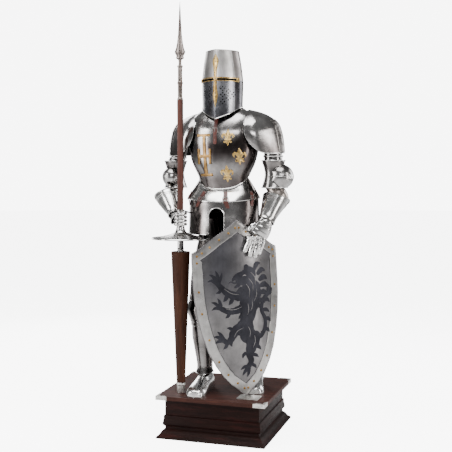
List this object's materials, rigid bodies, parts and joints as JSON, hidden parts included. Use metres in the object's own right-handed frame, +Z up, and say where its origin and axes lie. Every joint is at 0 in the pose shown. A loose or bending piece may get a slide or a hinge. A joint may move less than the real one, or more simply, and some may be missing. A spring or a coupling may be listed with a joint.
{
  "type": "suit of plate armour standing on a wooden display plinth",
  "caption": "Full suit of plate armour with closed helm, kite-shaped shield and long lance, standing on a square moulded wooden plinth.",
  "frame": {"origin": "centre of the plinth's underside, on the floor", "axes": "+Z up along the standing suit, the suit faces -Y, its left arm and the shield are on +X, the lance is on -X"},
  "size_m": [0.7223, 0.6155, 2.217],
  "materials": {
    "plate_steel": "polished antique steel with darker tarnish in the recesses",
    "dark_iron": "blackened",
    "brass_trim": "aged polish",
    "strap_leather": "smooth red-brown",
    "plinth_wood": "dark mahogany lacquer",
    "board_wood": "satin lacquer",
    "lance_wood": "satin stain",
    "silver_fittings": "engraved silver plate"
  },
  "bodies": {
    "root": {"plinth_body": "plinth_wood", "plinth_board": "board_wood", "corner_plate_1": "silver_fittings", "corner_plate_2": "silver_fittings", "corner_plate_3": "silver_fittings", "corner_plate_4": "silver_fittings", "shield_rest": "silver_fittings", "lance_ferrule": "silver_fittings", "lance_butt": "lance_wood", "lance_grip": "plate_steel", "vamplate": "plate_steel", "lance_shaft": "lance_wood", "lance_socket": "plate_steel", "lance_head": "plate_steel", "breastplate": "plate_steel", "backplate": "plate_steel", "helm_lower": "plate_steel", "helm_upper": "plate_steel", "helm_top": "plate_steel", "helm_cross": "brass_trim", "cross_potent": "brass_trim", "fleur_1": "brass_trim", "fleur_2": "brass_trim", "fleur_3": "brass_trim", "chest_strap": "strap_leather", "fauld": "plate_steel", "skirt": "plate_steel", "skirt_strap_1": "strap_leather", "skirt_strap_2": "strap_leather", "skirt_strap_3": "strap_leather", "skirt_strap_4": "strap_leather", "pauldron_left": "plate_steel", "pauldron_right": "plate_steel", "couter_left": "plate_steel", "upper_arm_left": "plate_steel", "couter_right": "plate_steel", "upper_arm_right": "plate_steel", "cuff_left": "plate_steel", "cuff_right": "plate_steel", "vambrace_left": "plate_steel", "vambrace_right": "plate_steel", "shield_face": "plate_steel", "shield_border": "plate_steel", "hand_left": "plate_steel", "fingers_left": "plate_steel", "thumb_left": "plate_steel", "hand_right": "plate_steel", "fingers_right": "plate_steel", "thumb_right": "plate_steel", "lance_stay": "dark_iron", "sabaton_right": "plate_steel", "sabaton_left": "plate_steel", "poleyn_right": "plate_steel", "greave_right": "plate_steel", "cuisse_right": "plate_steel", "poleyn_left": "plate_steel", "greave_left": "plate_steel", "cuisse_left": "plate_steel"}
  },
  "joints": []
}
